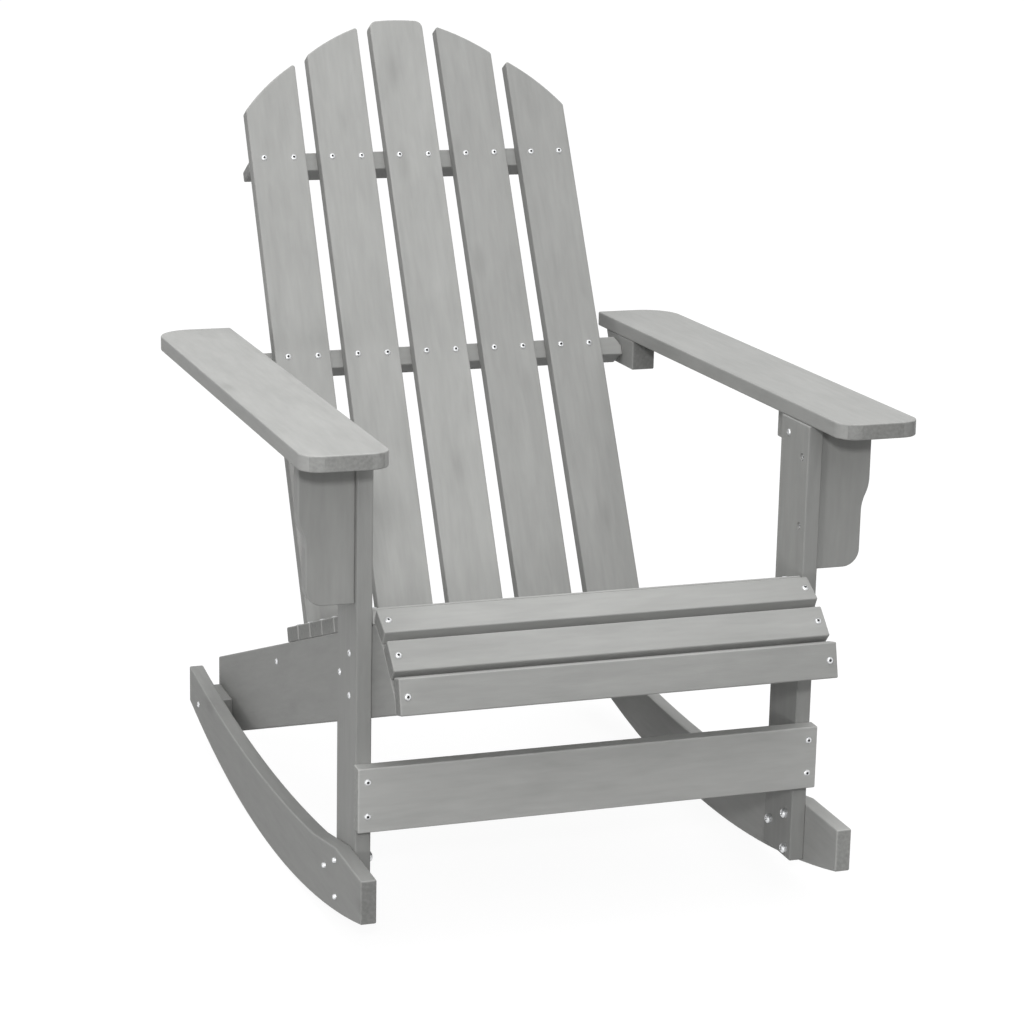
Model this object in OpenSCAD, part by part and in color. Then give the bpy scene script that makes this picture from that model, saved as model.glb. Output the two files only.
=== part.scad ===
// Slatted garden rocking chair with a fan back, wide arms and two curved rockers.
// Millimetres. X runs across the chair, the sitter faces -Y, and Z points up.
// The origin is on the floor, under the middle of the chair's overall box.
// Places along Y are first measured from the front face of the legs.

/* [Timber] */
// Thickness of every board
board_t = 18; // [15:0.5:22]
// Depth of the front legs, front to back
leg_d = 76; // [60:1:90]
// Height of the flat foot of each leg above the floor
leg_foot_z = 38; // [36:1:44]

/* [Seat] */
// Length of the seat slats, which is also the width over the side rails
seat_w = 502; // [460:1:540]
// Width of each main seat slat
seat_slat_w = 51; // [44:0.5:52]
// Gap between main seat slats
seat_slat_gap = 4.5; // [3:0.5:10]
// Number of main seat slats on the straight top of the rails
seat_slat_n = 7; // [5:1:7]
// Height of the seat ridge, where the straight top of the rails ends
ridge_z = 366; // [350:1:380]
// Distance of the seat ridge in front of the legs' front faces
ridge_y = 9; // [0:1:15]
// Width of the upper lip slat
lip_slat_upper_w = 36; // [32:0.5:40]
// Width of the lower lip slat
lip_slat_lower_w = 38; // [32:0.5:42]
// Height of the apron board under the seat lip
apron_w = 40; // [34:0.5:46]

/* [Side rails] */
// Width of the side rail boards
rail_w = 99; // [90:1:110]
// Fall of the side rails toward the rear, in degrees
rail_slope = 19.6; // [17:0.1:21]
// Distance of the rails' rear ends behind the legs' front faces
rail_end_y = 716; // [690:1:730]
// Slope of the rail's upper lip facet, in degrees
lip_upper_slope = 27.3; // [24:0.1:31]
// Length of the rail's upper lip facet
lip_upper_l = 32.6; // [30:0.1:36]
// Slope of the rail's lower lip facet, in degrees
lip_lower_slope = 42.4; // [38:0.1:46]
// Length of the rail's lower lip facet
lip_lower_l = 66; // [60:0.5:70]
// Lean of the apron, top toward the rear, in degrees
apron_lean = 14; // [8:0.5:20]

/* [Rockers] */
// Radius of the rocker's underside
rocker_r = 1650; // [1500:5:1900]
// Distance of the lowest point behind the legs' front faces
rocker_low_y = 338; // [300:1:370]
// Reach of the rocker in front of the legs' front faces
rocker_front_y = 87; // [70:1:100]
// Reach of the rocker behind the legs' front faces
rocker_rear_y = 729; // [700:1:760]
// Radius of the rocker's top edge
rocker_top_r = 2758; // [2400:5:3200]
// Height of the lowest point of the rocker's top edge
rocker_waist_z = 73.7; // [68:0.1:80]
// Distance of that lowest point behind the legs' front faces
rocker_waist_y = 395; // [360:1:420]
// Height of the rocker's flat nose
rocker_nose_z = 105.5; // [98:0.5:112]
// Distance of the nose's rear end behind the legs' front faces
rocker_nose_y = 18; // [0:1:30]
// Fall of the short ramp behind the nose, in degrees
rocker_ramp_slope = 10.5; // [8:0.5:14]

/* [Back] */
// Recline of the back from the vertical, in degrees
recline = 29.2; // [27:0.1:31]
// Distance of the middle screw row behind the legs' front faces
back_y = 567.9; // [555:0.1:580]
// Height of the middle screw row
back_z = 535.3; // [525:0.1:545]
// Gap between neighbouring back slats, at the middle screw row
back_slat_gap = 18.9; // [14:0.1:24]
// Gap between the outer back slats and the side rails, at the middle screw row
back_side_gap = 20.2; // [16:0.1:24]
// Lean of each back slat toward the middle one, from one slat to the next, in degrees
fan_lean = 0.22; // [0:0.02:0.4]
// Height of the middle slat's crest above the middle screw row
back_crest = 443; // [420:1:460]
// Length of the slats below the middle screw row
back_foot = 397; // [394:1:400]
// Distance from the middle rail up to the upper rail
upper_rail_s = 260; // [240:1:280]
// Distance from the middle rail down to the lower rail
lower_rail_s = 373; // [368:1:374]
// Radius of the arc that ends each slat
crest_r = 280; // [240:5:320]
// Drop of the crest from the middle slat to its neighbours
crest_drop_inner = 24.8; // [18:0.1:30]
// Drop of the crest from the middle slat to the outer slats
crest_drop_outer = 83; // [74:0.5:90]
// Slope of the crest arc on the middle slat's neighbours, in degrees
crest_slope_inner = 28; // [22:0.5:32]
// Slope of the crest arc on the outer slats, in degrees
crest_slope_outer = 41; // [36:0.5:44]
// Rounding of the middle slat's top corners
crest_corner_r = 10; // [6:0.5:14]
// Rounding of the lower top corner of every other slat
crest_low_corner_r = 6; // [4:0.5:9]
// Rounding of the higher top corner of every other slat
crest_tip_r = 3; // [2:0.5:5]
// Height of the upper and middle rails, along the slats
cross_rail_h = 24; // [20:1:28]
// Depth of the upper and middle rails
cross_rail_d = 36; // [30:1:40]

/* [Arms] */
// Distance of the arms' inner edges outside the side rails
arm_inset = 2.75; // [1:0.25:6]
// Width of each arm board
arm_w = 96.5; // [88:0.5:104]
// Reach of the arms in front of the legs' front faces
arm_front_y = 84; // [70:1:95]
// Reach of the arms behind the blocks under them
arm_over = 28; // [20:1:40]
// Height of the arms' underside at the legs' front faces
arm_under_z = 553.7; // [545:0.1:565]
// Fall of the arms toward the rear, in degrees
arm_fall = 1.5; // [0.5:0.1:2]
// Turn of the arms toward each other at the rear, in degrees
arm_toe = 0.65; // [0.3:0.05:1]
// Rounding of the arm's front corners
arm_front_r = 23; // [15:1:30]
// Rounding of the arm's outer rear corner
arm_rear_r = 45; // [30:1:60]

/* [Brackets and blocks] */
// Width of the arm bracket where it meets the arm
bracket_w = 63; // [60:0.5:68]
// Width of the arm bracket below its curve
bracket_tail_w = 54.5; // [50:0.5:58]
// Depth of the bracket below the arm
bracket_h = 168; // [160:1:185]
// Setback of the bracket behind the leg's front face
bracket_setback = 7; // [4:1:12]
// Height of the cleat under the arm
cleat_h = 38; // [34:1:44]
// Distance of the cleat's rear end behind the leg's front face
cleat_end_y = 128; // [122:1:140]
// Width of the block under the rear of the arm
block_w = 30; // [28:1:34]
// Height of the block under the rear of the arm
block_h = 37; // [34:1:42]

/* [Stretcher and spacers] */
// Height of the front stretcher board
stretcher_h = 74; // [66:1:80]
// Height of the stretcher's lower edge above the floor
stretcher_z = 132.5; // [125:0.5:140]
// Reach of the front stretcher past each side rail
stretcher_over = 20; // [18:0.5:22]
// Length of the spacers at the rear of the rockers
spacer_l = 65; // [55:1:70]
// Height of the spacers' top above the floor
spacer_top_z = 74; // [72:0.5:78]

/* [Fasteners] */
// Diameter of the screw heads
head_d = 7.6; // [6.5:0.1:8.5]
// Height of the screw heads
head_h = 1.8; // [1.2:0.1:2.4]
// Diameter of the screw shanks
shank_d = 4; // [3.5:0.1:4.5]
// Diameter of the bolts through rocker and leg
bolt_d = 6; // [5:0.5:7]
// Diameter of the bolt heads
bolt_head_d = 11; // [10:0.5:12]
// Size of the nuts across flats
nut_af = 10; // [9:0.5:11]
// Height of the nuts
nut_h = 4.5; // [4:0.5:6]

/* [Hidden] */
$fn = 96;
// Smoothness of the long arcs of the rockers and slat crests
arc_fn = 1440;
// Clearance round screw shanks and bolts
shank_fit = 0.15;
// Overrun of every cut
over = 2;

// Half widths of the layers at each side, from the middle outward
rail_out_x = seat_w / 2;
rail_in_x = rail_out_x - board_t;
leg_out_x = rail_out_x + board_t;
rocker_out_x = leg_out_x + board_t;

// Rocker and what stands inside its curve
rocker_clear = 10;
spacer_start_y = 641;

// Setback of the upper lip slat from the bend of the rail
lip_gap_upper = 1.5;
// Setback of the lower lip slat from the bend of the rail
lip_gap_lower = 4.5;
// Setback of the first main slat from the seat ridge
ridge_gap = 7;

// Back fan: two slats at each side of the middle one
slat_half_n = 2;
fan_w = 2 * (rail_in_x - back_side_gap);
back_slat_w = (fan_w - 2 * slat_half_n * back_slat_gap) / (2 * slat_half_n + 1);
back_slat_pitch = back_slat_w + back_slat_gap;
// The upper rail is as long as the fan is wide
upper_rail_l = 2 * slat_half_n * (back_slat_pitch - upper_rail_s * tan(fan_lean)) + back_slat_w;
slat_screw_inset = 16;
slat_screw_x = back_slat_w / 2 - slat_screw_inset;
rail_chamfer_x = 8;
rail_chamfer_z = 12;
// The lower rail is a 24 by 38 board on edge
lower_rail_h = 38;
lower_rail_d = 24;

// Block under the rear of each arm
block_inset = 4;
block_in_x = rail_out_x - block_inset;
block_lead = 24.9;
block_l = 97;
block_front_y = back_y - block_lead;
block_rear_y = block_front_y + block_l;
arm_l = arm_front_y + block_rear_y + arm_over;
arm_rear_inner_r = 3;

// Bracket outline below the arm
bracket_curve_top = 65;
bracket_curve_r = 46;
bracket_corner_r = 20;

// Screw lengths under the head
back_screw_l = 40;
seat_screw_l = 42;
leg_screw_l = 34;
stretcher_screw_l = 50;
bracket_screw_l = 60;
cleat_screw_l = 34;
arm_screw_l = 49;
block_screw_l = 60;
lower_rail_screw_l = 50;
spacer_screw_l = 50;
bolt_head_h = 3;
bolt_end = 1.5;
point_l = 5;
recess_w = 1.1;
recess_l = 4.4;
recess_deep = 1.2;
sink_d = 9;
sink_deep = 3;

// Screw places, as distance behind the legs' front faces and height
leg_screw_places = [[26, 325], [64, 292], [25.5, 277]];
bolt_places = [[58, 70], [15, 92], [12.5, 50]];
bracket_screw_z = [515, 435];
stretcher_screw_x = rail_out_x + board_t / 2;
stretcher_screw_z = [191, 151.5];
cleat_screw_place = [54, 535];
cleat_arm_screw_y = [40, 112];
block_screw_lead = 13;
block_screw_gap = 26;
block_arm_screw_y = [for (i = [0 : 1]) block_front_y + block_screw_lead + i * block_screw_gap];
spacer_screw_place = [677, 58];
seat_screw_inset = 9;

// Point reached from p in the YZ plane, along a direction in degrees above +Y
function ahead(p, angle, run) = [p[0] + run * cos(angle), p[1] + run * sin(angle)];
// Height of the arms' underside at a distance y behind the legs' front faces
function under_arm(y) = arm_under_z - y * tan(arm_fall);

// Bends of the side rail's upper edge, in the YZ plane
ridge_p = [-ridge_y, ridge_z];
lip_p = ahead(ridge_p, 180 + lip_upper_slope, lip_upper_l);
apron_p = ahead(lip_p, 180 + lip_lower_slope, lip_lower_l);
rail_under_p = ahead(ridge_p, 270 - rail_slope, rail_w);
apron_slope = 90 - apron_lean;
apron_rise = (sin(rail_slope) * (apron_p[0] - rail_under_p[0])
    + cos(rail_slope) * (apron_p[1] - rail_under_p[1])) / cos(rail_slope - apron_lean);
nose_p = ahead(apron_p, 270 - apron_lean, apron_rise);

// The front and rear of the overall box, from the legs' front faces
front_y = nose_p[0] - board_t * cos(apron_lean);
rear_y = back_y + back_crest * sin(recline) + board_t * cos(recline);
middle_y = (front_y + rear_y) / 2;

// Places of the seat boards, from the rear of the lip to the rear of the seat:
// point of the lower front or lower edge, angle above +Y, width
seat_places = concat(
    [[ahead(lip_p, 180 + lip_lower_slope, lip_gap_lower + lip_slat_lower_w), lip_lower_slope, lip_slat_lower_w]],
    [[ahead(lip_p, lip_upper_slope, lip_gap_upper), lip_upper_slope, lip_slat_upper_w]],
    [for (i = [0 : seat_slat_n - 1])
        [ahead(ridge_p, -rail_slope, ridge_gap + i * (seat_slat_w + seat_slat_gap)), -rail_slope, seat_slat_w]]
);
seat_board_n = len(seat_places);

// Crest of each back slat, by its distance from the middle slat
crest_drops = [0, crest_drop_inner, crest_drop_outer];
crest_slopes = [0, crest_slope_inner, crest_slope_outer];

SEAT_NODES = [for (i = [1 : seat_board_n]) str("seat_slat_", i)];
BACK_NODES = [for (i = [1 : 2 * slat_half_n + 1]) str("back_slat_", i)];

// Colours
module timber() { color([0.60, 0.60, 0.58]) children(); }
module zinc() { color([0.82, 0.83, 0.84]) children(); }

// Frame helpers
module chair() { translate([0, -middle_y, 0]) children(); }
module mirrored() { mirror([1, 0, 0]) children(); }
module both_sides() {
    children();
    mirror([1, 0, 0]) children();
}
// A YZ outline made into a board between x and x + t
module side_board(x, t) { translate([x, 0, 0]) rotate([90, 0, 90]) linear_extrude(t) children(); }
// Local Y runs along a seat board's width, and local Z out of its face
module on_seat(place) { translate([0, place[0][0], place[0][1]]) rotate([place[1], 0, 0]) children(); }
// Local Y runs behind the slats' front faces, and local Z up along the slats
module on_back() { translate([0, back_y, back_z]) rotate([-recline, 0, 0]) children(); }
// Back slat k, counted from the middle one, leans toward it
module on_slat(k) {
    on_back() translate([k * back_slat_pitch, 0, 0]) rotate([0, -k * fan_lean, 0]) children();
}
// An XZ outline made into a board between y and y + t
module front_board(y, t) { translate([0, y + t, 0]) rotate([90, 0, 0]) linear_extrude(t) children(); }
// The sliver outside a rounded corner that sits at the origin and opens toward +X and +Y
module corner_cut(r) {
    difference() {
        translate([-over, -over]) square(r + over);
        translate([r, r]) circle(r);
    }
}

// Screw with its head's underside at the origin and its shank along -Z
module screw(l) {
    dome_r = (head_d * head_d / 4 + head_h * head_h) / (2 * head_h);
    difference() {
        union() {
            rotate_extrude() intersection() {
                translate([0, head_h - dome_r]) circle(dome_r);
                square([head_d, head_h]);
            }
            translate([0, 0, point_l - l]) cylinder(d = shank_d, h = l - point_l);
            translate([0, 0, -l]) cylinder(d1 = 0, d2 = shank_d, h = point_l);
        }
        translate([0, 0, head_h]) cube([recess_l, recess_w, 2 * recess_deep], center = true);
        translate([0, 0, head_h]) cube([recess_w, recess_l, 2 * recess_deep], center = true);
    }
}
module screw_hole(l) { translate([0, 0, -l - over]) cylinder(d = shank_d + 2 * shank_fit, h = l + 2 * over); }

// Bolt with its head's underside at the origin, which ends past the nut
module bolt() {
    dome_r = (bolt_head_d * bolt_head_d / 4 + bolt_head_h * bolt_head_h) / (2 * bolt_head_h);
    grip = 2 * board_t + nut_h + bolt_end;
    rotate_extrude() intersection() {
        translate([0, bolt_head_h - dome_r]) circle(dome_r);
        square([bolt_head_d, bolt_head_h]);
    }
    translate([0, 0, -grip]) cylinder(d = bolt_d, h = grip);
}
module bolt_hole() {
    grip = 2 * board_t + over;
    translate([0, 0, -grip]) cylinder(d = bolt_d + 2 * shank_fit, h = grip + over);
}
module nut() {
    difference() {
        cylinder(d = nut_af / cos(30), h = nut_h, $fn = 6);
        translate([0, 0, -over]) cylinder(d = bolt_d + 2 * shank_fit, h = nut_h + 2 * over);
    }
}

// Places of the fasteners, each with its head's face turned along local +Z
module at_side(x, place, turn) { translate([x, place[0], place[1]]) rotate([0, turn, 0]) children(); }
module at_leg_screws() { for (p = leg_screw_places) at_side(leg_out_x, p, 90) children(); }
module at_bolts() { for (p = bolt_places) at_side(rocker_out_x, p, 90) children(); }
module at_spacer_screw() { at_side(rocker_out_x, spacer_screw_place, 90) children(); }
module at_cleat_screw() { at_side(rail_out_x, cleat_screw_place, -90) children(); }
module at_bracket_screws() {
    for (z = bracket_screw_z) {
        at_side(rail_out_x + sink_deep, [bracket_setback + board_t / 2, z], -90) children();
    }
}
module at_stretcher_screws() {
    for (z = stretcher_screw_z) translate([stretcher_screw_x, -board_t, z]) rotate([90, 0, 0]) children();
}
module at_lower_rail_screw() {
    translate([0, back_y, back_z]) rotate([-recline, 0, 0])
        translate([rail_out_x, board_t + lower_rail_d / 2, -lower_rail_s]) rotate([0, 90, 0]) children();
}
module at_block_screw() {
    translate([0, back_y, back_z]) rotate([-recline, 0, 0])
        translate([block_in_x + block_w, board_t + cross_rail_d / 2, 0]) rotate([0, 90, 0]) children();
}
module at_cleat_arm_screws() {
    for (y = cleat_arm_screw_y) {
        translate([leg_out_x + board_t / 2, y, under_arm(y) - cleat_h]) rotate([180 - arm_fall, 0, 0]) children();
    }
}
module at_block_arm_screws() {
    for (y = block_arm_screw_y) {
        translate([block_in_x + block_w / 2, y, under_arm(y) - block_h]) rotate([180 - arm_fall, 0, 0]) children();
    }
}
module at_seat_screw(place) {
    on_seat(place) translate([rail_out_x - seat_screw_inset, place[2] / 2, board_t]) children();
}
module at_apron_screw() { at_seat_screw([nose_p, apron_slope, apron_w]) children(); }
module at_back_screws(k, row_s) {
    on_slat(k) for (x = [-slat_screw_x, slat_screw_x]) translate([x, 0, row_s]) rotate([90, 0, 0]) children();
}

// Curved rocker: a disc's lower rim, hollowed by a flatter disc and cut square at both ends.
// The nose stays flat on top, and a ramp joins it to the hollow
module rocker_outline() {
    ramp_run = rocker_nose_z / tan(rocker_ramp_slope);
    difference() {
        intersection() {
            translate([-rocker_front_y, 0]) square([rocker_front_y + rocker_rear_y, rocker_nose_z]);
            translate([rocker_low_y, rocker_r]) circle(rocker_r, $fn = arc_fn);
        }
        difference() {
            translate([rocker_waist_y, rocker_waist_z + rocker_top_r]) circle(rocker_top_r, $fn = arc_fn);
            polygon([
                [-rocker_front_y - over, 0],
                [rocker_nose_y + ramp_run, 0],
                [rocker_nose_y, rocker_nose_z],
                [-rocker_front_y - over, rocker_nose_z]
            ]);
        }
    }
}
module rocker() {
    timber() difference() {
        side_board(leg_out_x, board_t) rocker_outline();
        at_bolts() bolt_hole();
        at_spacer_screw() screw_hole(spacer_screw_l);
    }
}

// Leg: flat foot, and a top cut to the arm's fall
module leg() {
    timber() difference() {
        side_board(rail_out_x, board_t)
            polygon([[0, leg_foot_z], [leg_d, leg_foot_z], [leg_d, under_arm(leg_d)], [0, under_arm(0)]]);
        at_bolts() bolt_hole();
        at_leg_screws() screw_hole(leg_screw_l);
        at_stretcher_screws() screw_hole(stretcher_screw_l);
        at_cleat_screw() screw_hole(cleat_screw_l);
        at_bracket_screws() screw_hole(bracket_screw_l);
        at_bracket_screws() cylinder(d = sink_d, h = sink_deep + over);
    }
}

// Side rail: a sloping board, shaped to the lip at the front and to the rocker's curve at the rear
module rail_outline() {
    rear_top_z = ridge_z - (rail_end_y + ridge_y) * tan(rail_slope);
    rear_low_z = rear_top_z - rail_w / cos(rail_slope);
    intersection() {
        polygon([ridge_p, lip_p, apron_p, nose_p, [rail_end_y, rear_low_z], [rail_end_y, rear_top_z]]);
        translate([rocker_low_y, rocker_r]) circle(rocker_r - rocker_clear, $fn = arc_fn);
    }
}
module side_rail() {
    timber() difference() {
        side_board(rail_in_x, board_t) rail_outline();
        at_leg_screws() screw_hole(leg_screw_l);
        at_spacer_screw() screw_hole(spacer_screw_l);
        at_lower_rail_screw() screw_hole(lower_rail_screw_l);
        for (place = seat_places) at_seat_screw(place) screw_hole(seat_screw_l);
        at_apron_screw() screw_hole(seat_screw_l);
    }
}

// Spacer between rocker and side rail, with its underside curved like the rocker
module rear_spacer() {
    timber() difference() {
        side_board(rail_out_x, board_t) intersection() {
            translate([spacer_start_y, 0]) square([spacer_l, spacer_top_z]);
            translate([rocker_low_y, rocker_r]) circle(rocker_r - rocker_clear, $fn = arc_fn);
        }
        at_spacer_screw() screw_hole(spacer_screw_l);
    }
}

module stretcher() {
    half_l = rail_out_x + stretcher_over;
    timber() difference() {
        translate([-half_l, -board_t, stretcher_z]) cube([2 * half_l, board_t, stretcher_h]);
        both_sides() at_stretcher_screws() screw_hole(stretcher_screw_l);
    }
}

// Seat boards lie on the facets of the side rails
module seat_board(place) {
    timber() difference() {
        on_seat(place) translate([-seat_w / 2, 0, 0]) cube([seat_w, place[2], board_t]);
        both_sides() at_seat_screw(place) screw_hole(seat_screw_l);
    }
}
module apron() { seat_board([nose_p, apron_slope, apron_w]); }

// Back slat: the top is an arc with rounded corners, turned to follow the fan's crest
module crest_corner_cut(side, arc_p, corner_r) {
    reach = crest_r - corner_r;
    fillet_x = side * (back_slat_w / 2 - corner_r);
    fillet_z = arc_p[1] + sqrt(reach * reach - (fillet_x - arc_p[0]) * (fillet_x - arc_p[0]));
    grow = (corner_r + over) / reach;
    tip = [fillet_x + (fillet_x - arc_p[0]) * grow, fillet_z + (fillet_z - arc_p[1]) * grow];
    out_x = side * (back_slat_w / 2 + over);
    difference() {
        polygon([[fillet_x, fillet_z], [out_x, fillet_z], [out_x, tip[1] + corner_r], tip]);
        translate([fillet_x, fillet_z]) circle(corner_r);
    }
}
module back_slat(k) {
    slope = sign(k) * crest_slopes[abs(k)];
    top_z = back_crest - crest_drops[abs(k)];
    arc_p = [-crest_r * sin(slope), top_z - crest_r * cos(slope)];
    blank_l = back_foot + back_crest + over;
    out_side = k < 0 ? -1 : 1;
    timber() difference() {
        on_slat(k) front_board(0, board_t) difference() {
            intersection() {
                translate([-back_slat_w / 2, -back_foot]) square([back_slat_w, blank_l]);
                union() {
                    translate(arc_p) circle(crest_r, $fn = arc_fn);
                    translate([-back_slat_w / 2, -back_foot]) square([back_slat_w, back_foot]);
                }
            }
            crest_corner_cut(out_side, arc_p, k == 0 ? crest_corner_r : crest_low_corner_r);
            crest_corner_cut(-out_side, arc_p, k == 0 ? crest_corner_r : crest_tip_r);
        }
        for (row_s = [upper_rail_s, 0, -lower_rail_s]) at_back_screws(k, row_s) screw_hole(back_screw_l);
    }
}

// Rail across the back, with its top corners cut off
module cross_rail(l, mid_s) {
    on_back() translate([0, 0, mid_s]) front_board(board_t, cross_rail_d) polygon([
        [-l / 2, -cross_rail_h / 2],
        [l / 2, -cross_rail_h / 2],
        [l / 2, cross_rail_h / 2 - rail_chamfer_z],
        [l / 2 - rail_chamfer_x, cross_rail_h / 2],
        [rail_chamfer_x - l / 2, cross_rail_h / 2],
        [-l / 2, cross_rail_h / 2 - rail_chamfer_z]
    ]);
}
module all_back_screws(row_s) {
    for (k = [-slat_half_n : slat_half_n]) at_back_screws(k, row_s) children();
}
module upper_rail() {
    timber() difference() {
        cross_rail(upper_rail_l, upper_rail_s);
        all_back_screws(upper_rail_s) screw_hole(back_screw_l);
    }
}
module middle_rail() {
    timber() difference() {
        cross_rail(2 * block_in_x, 0);
        all_back_screws(0) screw_hole(back_screw_l);
        both_sides() at_block_screw() screw_hole(block_screw_l);
    }
}
module lower_rail() {
    timber() difference() {
        on_back() translate([-rail_in_x, board_t, -lower_rail_s - lower_rail_h / 2])
            cube([2 * rail_in_x, lower_rail_d, lower_rail_h]);
        all_back_screws(-lower_rail_s) screw_hole(back_screw_l);
        both_sides() at_lower_rail_screw() screw_hole(lower_rail_screw_l);
    }
}

// Arm board: inner edge at local x = 0, front edge at local y = 0
module arm_outline() {
    difference() {
        square([arm_w, arm_l]);
        corner_cut(arm_front_r);
        translate([arm_w, 0]) mirror([1, 0]) corner_cut(arm_front_r);
        translate([arm_w, arm_l]) mirror([1, 0]) mirror([0, 1]) corner_cut(arm_rear_r);
        translate([0, arm_l]) mirror([0, 1]) corner_cut(arm_rear_inner_r);
    }
}
module arm() {
    timber() difference() {
        translate([rail_out_x + arm_inset, -arm_front_y, under_arm(-arm_front_y)])
            rotate([-arm_fall, 0, 0]) rotate([0, 0, arm_toe]) linear_extrude(board_t) arm_outline();
        at_cleat_arm_screws() screw_hole(arm_screw_l);
        at_block_arm_screws() screw_hole(arm_screw_l);
    }
}

// Block that carries the middle rail under the rear of each arm
module arm_block() {
    low_y = block_rear_y - block_h * tan(recline);
    timber() difference() {
        side_board(block_in_x, block_w) polygon([
            [block_front_y, under_arm(block_front_y)],
            [block_front_y, under_arm(block_front_y) - block_h],
            [low_y, under_arm(low_y) - block_h],
            [block_rear_y, under_arm(block_rear_y)]
        ]);
        at_block_arm_screws() screw_hole(arm_screw_l);
        at_block_screw() screw_hole(block_screw_l);
    }
}

// Bracket outline: x outward from the leg, and y down from the arm, with an S curve on its outer edge
module bracket_outline() {
    step = bracket_w - bracket_tail_w;
    curve_h = sqrt(4 * bracket_curve_r * step - step * step);
    curve_mid = bracket_curve_top + curve_h / 2;
    difference() {
        square([bracket_w, bracket_h]);
        difference() {
            translate([bracket_tail_w, bracket_curve_top]) square([step + over, curve_h / 2]);
            translate([bracket_w - bracket_curve_r, bracket_curve_top]) circle(bracket_curve_r);
        }
        intersection() {
            translate([bracket_tail_w, curve_mid]) square([step + over, curve_h / 2]);
            translate([bracket_tail_w + bracket_curve_r, bracket_curve_top + curve_h]) circle(bracket_curve_r);
        }
        translate([bracket_tail_w, bracket_curve_top + curve_h]) square([step + over, bracket_h]);
        translate([bracket_tail_w, bracket_h]) mirror([1, 0]) mirror([0, 1]) corner_cut(bracket_corner_r);
    }
}
module bracket() {
    timber() difference() {
        translate([leg_out_x, 0, under_arm(0)]) mirror([0, 0, 1]) front_board(bracket_setback, board_t) bracket_outline();
        above_arm(bracket_w);
        at_bracket_screws() screw_hole(bracket_screw_l);
    }
}
// Everything above the arms' underside, over a width outside the leg
module above_arm(w) {
    side_board(leg_out_x - over, w + 2 * over) polygon([
        [-over, under_arm(-over)],
        [leg_d, under_arm(leg_d)],
        [leg_d, under_arm(0) + board_t],
        [-over, under_arm(0) + board_t]
    ]);
}

// Cleat behind the bracket, screwed to the leg and up into the arm
module cleat() {
    start_y = bracket_setback + board_t;
    timber() difference() {
        side_board(leg_out_x, board_t) polygon([
            [start_y, under_arm(start_y)],
            [start_y, under_arm(start_y) - cleat_h],
            [cleat_end_y, under_arm(cleat_end_y) - cleat_h],
            [cleat_end_y, under_arm(cleat_end_y)]
        ]);
        at_cleat_screw() screw_hole(cleat_screw_l);
        at_cleat_arm_screws() screw_hole(arm_screw_l);
    }
}

// Fasteners, one node for each kind and place
module back_screws() {
    zinc() for (row_s = [upper_rail_s, 0, -lower_rail_s]) all_back_screws(row_s) screw(back_screw_l);
}
module seat_screws() {
    zinc() both_sides() {
        for (place = seat_places) at_seat_screw(place) screw(seat_screw_l);
        at_apron_screw() screw(seat_screw_l);
    }
}
module leg_screws() { zinc() both_sides() at_leg_screws() screw(leg_screw_l); }
module stretcher_screws() { zinc() both_sides() at_stretcher_screws() screw(stretcher_screw_l); }
module bracket_screws() { zinc() both_sides() at_bracket_screws() screw(bracket_screw_l); }
module cleat_screws() { zinc() both_sides() at_cleat_screw() screw(cleat_screw_l); }
module arm_screws() {
    zinc() both_sides() {
        at_cleat_arm_screws() screw(arm_screw_l);
        at_block_arm_screws() screw(arm_screw_l);
    }
}
module block_screws() { zinc() both_sides() at_block_screw() screw(block_screw_l); }
module lower_rail_screws() { zinc() both_sides() at_lower_rail_screw() screw(lower_rail_screw_l); }
module spacer_screws() { zinc() both_sides() at_spacer_screw() screw(spacer_screw_l); }
module rocker_bolts() { zinc() both_sides() at_bolts() bolt(); }
module rocker_nuts() { zinc() both_sides() at_bolts() translate([0, 0, -2 * board_t - nut_h]) nut(); }

chair() mirrored() rocker();  // rocker_left
chair() rocker();  // rocker_right
chair() mirrored() leg();  // leg_left
chair() leg();  // leg_right
chair() mirrored() side_rail();  // side_rail_left
chair() side_rail();  // side_rail_right
chair() mirrored() rear_spacer();  // rear_spacer_left
chair() rear_spacer();  // rear_spacer_right
chair() stretcher();
chair() apron();
for (i = [1 : seat_board_n]) chair() seat_board(seat_places[i - 1]);
for (i = [1 : len(BACK_NODES)]) chair() back_slat(i - 1 - slat_half_n);
chair() upper_rail();
chair() middle_rail();
chair() lower_rail();
chair() mirrored() arm();  // arm_left
chair() arm();  // arm_right
chair() mirrored() arm_block();  // arm_block_left
chair() arm_block();  // arm_block_right
chair() mirrored() bracket();  // bracket_left
chair() bracket();  // bracket_right
chair() mirrored() cleat();  // cleat_left
chair() cleat();  // cleat_right
chair() back_screws();
chair() seat_screws();
chair() leg_screws();
chair() stretcher_screws();
chair() bracket_screws();
chair() cleat_screws();
chair() arm_screws();
chair() block_screws();
chair() lower_rail_screws();
chair() spacer_screws();
chair() rocker_bolts();
chair() rocker_nuts();
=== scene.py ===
"""Looks of a slatted garden rocking chair: grey boards with eased edges, zinc screws, a white studio."""
import math
import random

import bmesh
import bpy
from bpy.props import FloatProperty, FloatVectorProperty, IntProperty, PointerProperty
from mathutils import Matrix, Vector


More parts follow.
